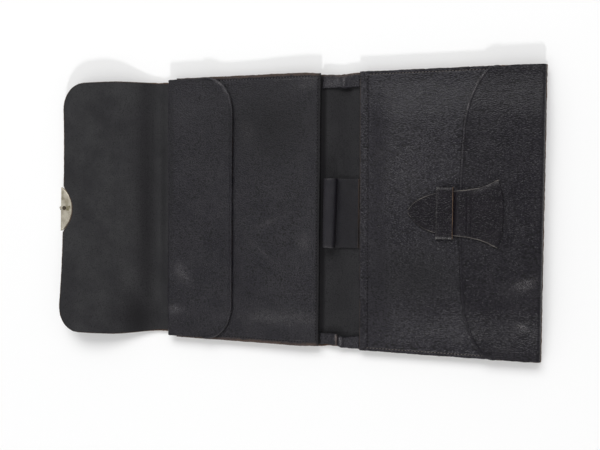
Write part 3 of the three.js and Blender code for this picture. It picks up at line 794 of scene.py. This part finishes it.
rightScuffsAndHighlights = [
    # Real scuffs.
    mark(110, -40, 6, 3, 0.7, turn=25),
    mark(109, -64.5, 3, 1.4, 0.7, turn=-20),
    # A broad patch on the front: painted sheen.
    mark(36, 28, 22, 26, 0.27),
    # Painted highlights along the flap's rounded top corner and its free edge.
    mark(84.2, 79.6, 4, 0.8, 0.7, turn=54),
    mark(80.2, 72.4, 5, 0.8, 1.0, turn=67),
    mark(76.9, 62.6, 7, 0.6, 0.8, turn=77),
    mark(74.3, 38, 22, 0.5, 0.4, turn=87),
]
for piece, marks in ((leftFront, leftScuffsAndHighlights), (leftEnvelope, leftScuffsAndHighlights),
                     (rightFront, rightScuffsAndHighlights), (rightEnvelope, rightScuffsAndHighlights)):
    paintMarks(piece, "scuffAndHighlight", marks)
# Painted shade on the left pocket: along its inner edge by the spine, over its upper part, along its top
# edge and beside its fold.
leftPaintedShade = [
    mark(-12, 0, 2.4, 200, 1.0),
    mark(-45, 54, 30, 22, 0.6),
    mark(-50, 83.6, 60, 0.45, 0.8),
    mark(-113.6, 30, 1.4, 60, 0.6),
]
# Darkens the lower middle of the right pocket's front.
paintMarks(rightFront, "shadeAndGrime", [mark(50, -38, 30, 20, 0.6)])
paintMarks(leftFront, "shadeAndGrime", leftPaintedShade)
paintMarks(leftEnvelope, "shadeAndGrime", leftPaintedShade)
print("pockets made")

# The tongue on the right flap, from its tip to its wide end.
tongue = {
    "x": [42.9, 44.4, 47.6, 53, 59.4, 64, 69.6, 72.2, 78, 84, 89.5, 94.5],
    "half": [0.9, 3.0, 6.4, 9.7, 11.9, 12.5, 13.1, 13.4, 14.0, 15.2, 17.2, 19.8],
    "thick": 1.1, "endBulge": 3.3, "stepFrom": 69.4, "stepTo": 72.2, "tipLean": 0.7, "leanTo": 56,
    "creases": [77.0, 79.6], "creaseDepth": 0.28,
}
keeper = {"from": 59.4, "to": 69.3, "half": 15.4, "thick": 1.0}
# Painted highlights along the tongue's upper edge, and weaker along its lower edge.
tongueEdgeHighlights = [
    mark(89, 16.6, 8, 1.5, 1.0, turn=24),
    mark(79, 14, 7, 0.8, 0.7, turn=8),
    mark(86, -16.5, 10, 0.9, 0.4, turn=-17),
]
# Painted highlights: light dots at the keeper's corners, along its bends at both ends and a broken line
# down its left edge.
keeperHighlights = [
    mark(59.9, 15, 1.3, 1.2, 1.0),
    mark(59.9, -15, 1.3, 1.2, 1.0),
    mark(67, -15, 2.5, 1.0, 0.5),
    mark(64, 14.6, 4, 0.6, 0.3),
    mark(64, -14.6, 5, 0.7, 0.5),
    mark(59.6, 0, 0.4, 16, 0.28),
]
plateau = pocketLeather + gap


def tongueSheet():
    t = tongue
    stations = gridLines(t["x"][0], t["x"][-1], 0.8, [(c, 1.2, 0.25) for c in t["creases"]])
    x, v = np.meshgrid(stations, np.linspace(-1, 1, 49))
    half = throughTable(t["x"], t["half"], x)
    bulge = t["endBulge"] * smooth((x - 84) / 10.5) * (1 - v * v)
    onFlap = smooth((x - t["stepFrom"]) / (t["stepTo"] - t["stepFrom"]))
    y = v * half
    z = frontBottom(rightPocket, x, y) + plateau + plateau * onFlap + t["thick"] / 2
    for crease in t["creases"]:
        z = z - t["creaseDepth"] * np.exp(-(((x - crease) / 0.45) ** 2))
    z = z + 0.12 * softNoise(x, y, 6, 72)
    lean = t["tipLean"] * smooth((t["leanTo"] - x) / (t["leanTo"] - t["x"][0]))
    middle = np.stack([x + bulge, y + lean, z], -1)
    return leatherSheet("tuckTongue", middle, t["thick"], tongueLeather, raw="start end", fray=0.12)


def keeperStrap():
    k = keeper
    base = frontBottom(rightPocket, (k["from"] + k["to"]) / 2, 0) + plateau
    top = base + tongue["thick"] + gap + k["thick"] / 2
    reach, foot = k["half"] - k["thick"] / 2, base + 0.05
    profile = [(-reach, foot), (-reach, top - 0.7), (-reach + 0.25, top - 0.2), (-reach + 0.9, top)]
    profile += [(s * (reach - 1.6), top) for s in np.linspace(-1, 1, 33)]
    profile += [(-y, z) for y, z in profile[3::-1]]
    line = np.array(profile)
    xs = gridLines(k["from"], k["to"], 0.6)
    x, i = np.meshgrid(xs, np.arange(len(line)))
    middle = np.stack([x, line[i, 0], line[i, 1]], -1)
    return leatherSheet("tongueKeeper", middle, k["thick"], keeperLeather, 0.25, raw="right", fray=0.08)


pencilLoop = {
    "left": -9.8, "width": 7.4, "flare": 1.2, "height": 7.4, "round": 2.2, "wall": 1.1,
    "from": -22.3, "to": 20.3, "tailEnd": wallet["spineHalf"],
}
# Painted shade on the loop's tail, beside the loop and near the tail's end by the right pocket.
loopPaintedShade = [
    mark(6, 0, 6, 60, 0.5),
    mark(11, -12, 2, 12, 0.7),
]
# Painted highlights: light lines at both cut ends of the loop and down its left side.
loopHighlights = [
    mark(-6, 20.2, 3.5, 0.7, 0.7),
    mark(-6, -22.2, 3.5, 0.9, 1.0),
    mark(-9.6, 0, 0.9, 22, 0.4),
]


# One strip: the tail on the spine, under the loop, up, over and down again onto the tail.
def loopStrip():
    l = pencilLoop
    half, r = l["wall"] / 2, l["round"]
    left, right = l["left"] + half, l["left"] + l["width"] - half
    low, high = backBottom + half, backBottom + l["height"] - half
    line = [(x, low) for x in np.linspace(l["tailEnd"], left + r, 26)]
    for cx, cz, start in ((left + r, low + r, 270), (left + r, high - r, 180), (right - r, high - r, 90)):
        for a in np.linspace(start, start - 90, 7):
            line.append((cx + r * math.cos(math.radians(a)), cz + r * math.sin(math.radians(a))))
        if start == 180:
            line += [(x, high) for x in np.linspace(left + r, right - r, 5)[1:-1]]
    line += [(right, z) for z in np.linspace(high - r, low + l["wall"] + 0.02, 6)[1:]]
    line = np.array(line)
    ys = gridLines(l["from"], l["to"], 1.0)
    i, y = np.meshgrid(np.arange(len(line)), ys)
    x, z = line[i, 0], line[i, 1]
    raised = smooth((z - low) / 2) * smooth((x - left) / l["width"] + 0.3)
    x = x + l["flare"] * (y - l["from"]) / (l["to"] - l["from"]) * raised
    x = x + 0.15 * softNoise(y, 0 * y, 9, 81) * raised
    middle = np.stack([x, y, z], -1)[:, ::-1]
    made = leatherSheet("pencilLoopStrip", middle, l["wall"], loopLeather, 0.25, "right", 0.07)
    paintMarks(made, "shadeAndGrime", loopPaintedShade)
    paintMarks(made, "scuffAndHighlight", loopHighlights)
    return made


spineStrip = {"half": 11.7, "thick": 1.1, "inner": 76.6, "outer": 84.5, "fray": 0.25}


# A strip across the end of the spine from one x to another, raised by lift(x, share) where share
# is 0 at the outer edge and 1 at the inner edge.
def stripSheet(name, end, fromX, toX, inner, outer, lift, raw):
    s = spineStrip
    xs = gridLines(fromX, toX, 0.45)
    x, share = np.meshgrid(xs, np.linspace(0, 1, 22))
    if end > 0:
        share = 1 - share
    y = end * mix(outer(x), inner(x), share)
    z = backBottom + s["thick"] / 2 + lift(x, share) + 0.08 * softNoise(x, y, 1.6, 95)
    return leatherSheet(name, np.stack([x, y, z], -1), s["thick"], stripLeather, raw=raw, fray=s["fray"])


# The upper strip arches off the lining with one sharp ridge.
def upperLift(x, share):
    arch = 2.1 * bell(x, 2.6, 5) * share ** 1.5
    ridge = 0.55 * bell(x, 1.9, 0.55) - 0.45 * bell(x, 3.2, 0.6)
    return arch + ridge * smooth(share * 2) + 0.5 * bell(x, 11.2, 1.2) * share


# The lower strip has torn: its left part rides up over a roll in the right part.
def lowerLeftLift(x, share):
    return 0.8 * smooth((x + 9) / 7) + 0.3 * share


def lowerRightLift(x, share):
    roll = 1.7 * bell(x, 1.6, 1.5) * mix(0.8, 1, share)
    return roll + 0.4 * bell(x, 5, 2.5) * share


tongueBody, keeperBody, loopBody = tongueSheet(), keeperStrap(), loopStrip()
paintMarks(tongueBody, "scuffAndHighlight", tongueEdgeHighlights)
paintMarks(keeperBody, "scuffAndHighlight", keeperHighlights)
half, inner, outer = spineStrip["half"], spineStrip["inner"], spineStrip["outer"]
upperStrip = stripSheet(
    "upperSpineStrip", 1, -half, 11.9, lambda x: inner - 0.9 * bell(x, 2, 5),
    lambda x: outer - 0.9 * bell(x, 1, 4.5), upperLift, "end")
lowerLeft = stripSheet(
    "lowerSpineStripLeft", -1, -half, -0.6, lambda x: inner - 0.2 + 0 * x,
    lambda x: outer - 1.2 + 0 * x, lowerLeftLift, "right")
lowerRight = stripSheet(
    "lowerSpineStripRight", -1, -1.6, 13.1, lambda x: inner + 0.7 + 0.9 * bell(x, 5, 3),
    lambda x: outer + 0.3 - 1.0 * bell(x, -1, 2.5), lowerRightLift, "left")
# Light marks: the torn end of the lower strip's left part, and painted highlights on the right part's
# roll, on the upper strip's ridge and on a patch beside it.
paintMarks(lowerLeft, "scuffAndHighlight", [mark(-1.5, -79, 0.5, 3, 1.0)])
paintMarks(lowerRight, "scuffAndHighlight", [mark(1.5, -80, 0.9, 3.2, 1.0)])
paintMarks(upperStrip, "scuffAndHighlight", [mark(1.9, 80, 0.7, 3, 1.0), mark(-5, 79, 5, 3, 0.45)])
print("tongue, keeper, loop and strips made")

stitch = {
    "pitch": 1.95, "length": 1.3, "radius": 0.2, "sides": 6, "slant": 9, "hole": 0.55, "smallHole": 0.25,
}


# Closed tubes and domes from rings of points, added to the lists.
def addRings(points, faces, rings):
    first, n = len(points), len(rings[0])
    for ring in rings:
        points.extend(ring)
    for k in range(len(rings) - 1):
        for i in range(n):
            a, b = first + k * n + i, first + k * n + (i + 1) % n
            faces.append((a, a + n, b + n, b))
    last = first + (len(rings) - 1) * n
    faces.append(tuple(first + i for i in range(n)))
    faces.append(tuple(last + n - 1 - i for i in range(n)))


# Stitches along straight seams: short threads that dip into the leather, with a black dot of painted
# shade for a needle hole between each two. A thread's profile is its share of the length, height and
# fatness.
def stitchSeams(name, seams, material, holeRadius):
    threads, holes = ([], []), ([], [])
    n = stitch["sides"]
    corners = [2 * math.pi * k / n for k in range(n)]
    profile = [(-0.5, -0.26, 0.3), (-0.42, -0.05, 0.85), (-0.2, 0.08, 1.0), (0.2, 0.08, 1.0),
               (0.42, -0.05, 0.85), (0.5, -0.26, 0.3)]
    for start, end, heightAt in seams:
        start, end = np.array(start, float), np.array(end, float)
        run = np.linalg.norm(end - start)
        along = (end - start) / run
        turn = math.radians(stitch["slant"])
        lie = along * math.cos(turn) + np.array([-along[1], along[0]]) * math.sin(turn)
        aside = np.array([-lie[1], lie[0]])
        for k in range(int(run / stitch["pitch"])):
            centre = start + along * (k + 0.5) * stitch["pitch"]
            top = float(heightAt(centre[0], centre[1]))
            rings = []
            for share, rise, fat in profile:
                middle = centre + lie * share * stitch["length"]
                r = stitch["radius"] * fat
                rings.append([(*(middle + aside * math.cos(a) * r), top + rise + math.sin(a) * r)
                              for a in corners])
            addRings(*threads, rings)
            hole = centre + along * stitch["pitch"] / 2
            top = float(heightAt(hole[0], hole[1]))
            rings = []
            for fat, rise in ((1.0, -0.05), (0.95, 0.02), (0.5, 0.05)):
                r = holeRadius * fat
                rings.append([(hole[0] + r * math.cos(a), hole[1] + r * math.sin(a) * 0.8, top + rise)
                              for a in corners])
            addRings(*holes, rings)
    return newObject(name, *threads, material), newObject(name + "PaintedHoleShade", *holes, paintedHoleShade)


def seamRows(p, sides):
    def top(x, y):
        y = y - p["shiftY"]
        return frontBottom(p, x, y) + pocketLeather + seamGroove(p, x, y)

    seamY = p["halfFront"] - p["seamIn"]
    seamX = p["inner"] + p["side"] * p["sewnIn"]
    fromMouth = p["mouth"] - p["side"] * 1.5
    upper, lower = p["shiftY"] + seamY, p["shiftY"] - seamY
    rows = {
        "upper": ((seamX, upper), (fromMouth, upper), top),
        "lower": ((seamX, lower), (fromMouth, lower), top),
        "inner": ((seamX + p["skew"], lower), (seamX - p["skew"], upper), top),
    }
    return [rows[side] for side in sides]


stitches = []
for name, pocket, sides, thread, holeRadius in (
    ("leftStitches", leftPocket, ["lower", "inner"], darkThread, stitch["hole"]),
    ("leftUpperStitches", leftPocket, ["upper"], litDarkThread, stitch["hole"]),
    ("rightStitches", rightPocket, ["lower"], paleThread, stitch["hole"]),
    ("rightInnerStitches", rightPocket, ["inner"], darkThread, stitch["smallHole"]),
    ("rightUpperStitches", rightPocket, ["upper"], paleThread, stitch["hole"]),
):
    stitches += stitchSeams(name, seamRows(pocket, sides), thread, holeRadius)
print("stitches made")


# Puts the clasp's pieces in place: x, y in the flap's plane and z above its underside.
def onFlapPlane(points):
    def at(x, y):
        return float(flapHeight(np.array(x), np.array(y)))

    cx = (clasp["edge"] + clasp["deepest"]) / 2
    slopeX = (at(cx + 3, clasp["y"]) - at(cx - 3, clasp["y"])) / 6
    slopeY = (at(cx, clasp["y"] + 6) - at(cx, clasp["y"] - 6)) / 12
    normal = unit(np.array([-slopeX, -slopeY, 1.0]))
    turnAxis = np.cross([0, 0, 1], normal)
    sine, cosine = np.linalg.norm(turnAxis), normal[2]
    turnAxis = unit(turnAxis)
    local = np.asarray(points, float) - [cx, 0, 0]
    turned = (local * cosine + np.cross(turnAxis, local) * sine
              + np.outer(local @ turnAxis, turnAxis) * (1 - cosine))
    return turned + [cx, clasp["y"], at(cx, clasp["y"])]


# Closed solid from an outline of (x, y), with softened rims: rings of (grow, z) from low to high.
def turnedPlate(name, outline, rings, material):
    outline = np.asarray(outline, float)
    tangent = np.roll(outline, -1, 0) - np.roll(outline, 1, 0)
    out = unit(np.stack([tangent[:, 1], -tangent[:, 0]], -1))
    points, faces = [], []
    addRings(points, faces, [[(*xy, z) for xy in outline + out * grow] for grow, z in reversed(rings)])
    return newObject(name, onFlapPlane(points), faces, material)


# Outline of a disc cut off by a straight chord, and by a limit to its half height.
def segmentOutline(radius, chordX, halfLimit, count):
    centre = clasp["deepest"] - clasp["radius"]
    reach = min(math.acos((chordX - centre) / radius), math.asin(min(1, halfLimit / radius)))
    angles = np.linspace(-reach, reach, count)
    arc = [(centre + radius * math.cos(a), radius * math.sin(a)) for a in angles]
    end = arc[-1][1]
    cutShort = arc[-1][0] > chordX + 0.01
    chord = [(chordX, y) for y in np.linspace(end, -end, 12)]
    return arc + chord[0 if cutShort else 1:-1]


def ovalOutline(x, y, halfX, halfY):
    angles = np.linspace(0, 2 * math.pi, 29)[:-1]
    return [(x + halfX * math.cos(a), y + halfY * math.sin(a)) for a in angles]


c = clasp
face = turnedPlate("claspFace", segmentOutline(c["radius"] - 0.3, c["edge"], 99, 40),
                   [(-0.1, -gap), (0, -0.2), (0, c["boss"] - 0.35), (-0.12, c["boss"] - 0.1),
                    (-0.4, c["boss"])], oldNickel)
flange = turnedPlate("claspFlange",
                     segmentOutline(c["radius"] + c["lip"], c["edge"], c["flangeHalf"], 30),
                     [(-0.3, -gap - c["plate"]), (0, -gap - c["plate"] + 0.3),
                      (0, -gap - 0.05)], oldNickel)
rivet = turnedPlate("claspRivet", ovalOutline(c["rivetX"], c["rivetY"], *c["rivetHalf"]),
                    [(0, c["boss"] - 0.2), (0, c["boss"] + 0.05), (-0.3, c["boss"] + 0.22),
                     (-0.8, c["boss"] + 0.32)], rustyIron)
nub = turnedPlate("claspNub", ovalOutline(c["nubX"], c["nubY"], *c["nubHalf"]),
                  [(0, 0.1), (0, 0.9), (-0.3, 1.2), (-0.8, 1.3)], oldNickel)
print("clasp made")

for piece, nodes, slot in (
    (cover, ["outer_cover"], "cover_leather"),
    (lining, ["lining"], "lining_leather"),
    (leftFront, ["left_pocket_front"], "pocket_leather"),
    (leftEnvelope, ["left_pocket_envelope"], "pocket_leather"),
    (rightFront, ["right_pocket_front"], "pocket_leather"),
    (rightEnvelope, ["right_pocket_envelope"], "pocket_leather"),
    (tongueBody, ["tongue"], "pocket_leather"),
    (keeperBody, ["tongue_keeper"], "pocket_leather"),
    (loopBody, ["pencil_loop"], "pocket_leather"),
    (upperStrip, ["spine_strip_upper"], "cover_leather"),
    (lowerLeft, ["spine_strip_lower"], "cover_leather"),
    (lowerRight, ["spine_strip_lower"], "cover_leather"),
    *((made, [], "pocket_leather") for made in stitches),
    (face, ["clasp_plate"], "clasp_nickel"),
    (flange, ["clasp_plate"], "clasp_nickel"),
    (rivet, ["clasp_plate"], "clasp_iron"),
    (nub, ["clasp_plate"], "clasp_nickel"),
):
    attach(piece, "root")
    if nodes:
        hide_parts(*nodes)

for node, material in (("clasp_pin", rustyIron), ("catch_plate", oldNickel)):
    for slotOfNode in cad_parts[node].material_slots:
        slotOfNode.material = material

view = {
    "camera": (102.4, 8.4, 426.1),
    "turn": (-2.09, 16.89, 0.51),
    "lens": 42,
    "floorTone": (0.845, 0.845, 0.845),
    "floorHalf": 3.0,  # half its side in metres
    "wallLight": 0.58,  # the room's light from the sides
    "ceilingLight": 0.4,  # and from overhead
    "windowPlace": (-0.2, 1.75, 1.75), "windowSize": (2.2, 1.1), "windowPower": 42,
    "doorPlace": (-1.1, -1.4, 1.9), "doorSize": (1.4, 1.2), "doorPower": 7,
    "lampPlace": (0.25, -2.3, 1.2), "lampSize": (0.2, 0.2), "lampPower": 28,
}


def makeFloor():
    mesh = bpy.data.meshes.new("floor")
    s = view["floorHalf"]
    mesh.from_pydata([(-s, -s, 0), (s, -s, 0), (s, s, 0), (-s, s, 0)], [], [(0, 1, 2, 3)])
    material, _, shader, _ = newMaterial("paleFloor")
    shader.inputs["Base Color"].default_value = (*view["floorTone"], 1)
    shader.inputs["Roughness"].default_value = 0.9
    shader.inputs["Specular IOR Level"].default_value = 0.1
    mesh.materials.append(material)
    floor = addObject("floor", mesh)


# A rectangular lamp aimed at the middle of the wallet.
def areaLight(name, location, size, power):
    data = bpy.data.lights.new(name, "AREA")
    data.shape = "RECTANGLE"
    data.size, data.size_y = size
    data.energy = power
    lamp = addObject(name, data)
    lamp.location = location
    lamp.rotation_euler = (-Vector(location)).to_track_quat("-Z", "Y").to_euler()


makeFloor()
for source in ("window", "door", "lamp"):
    areaLight(source, view[source + "Place"], view[source + "Size"], view[source + "Power"])

scene = bpy.context.scene


# An even room whose walls are brighter than its ceiling.
def makeRoom():
    world = bpy.data.worlds.new("room")
    world.use_nodes = True
    tree = world.node_tree
    direction = tree.nodes.new("ShaderNodeTexCoord").outputs["Generated"]
    height = place(tree, "SeparateXYZ", i0=direction).outputs[2]
    strength = remap(tree, height, 0.55, 0.92, view["wallLight"], view["ceilingLight"])
    tree.links.new(strength, tree.nodes["Background"].inputs["Strength"])
    tree.nodes["Background"].inputs["Color"].default_value = (1, 1, 1, 1)
    scene.world = world


makeRoom()
scene.view_settings.view_transform = "Standard"

cameraData = bpy.data.cameras.new("camera")
cameraData.lens, cameraData.sensor_width = view["lens"], 36
cameraData.clip_start, cameraData.clip_end = 0.01, 20
camera = addObject("camera", cameraData)
camera.location = [a * mm + b for a, b in zip(view["camera"], (spineX, 0, 0))]
camera.rotation_euler = [math.radians(a) for a in view["turn"]]
scene.camera = camera

print("scene ready")
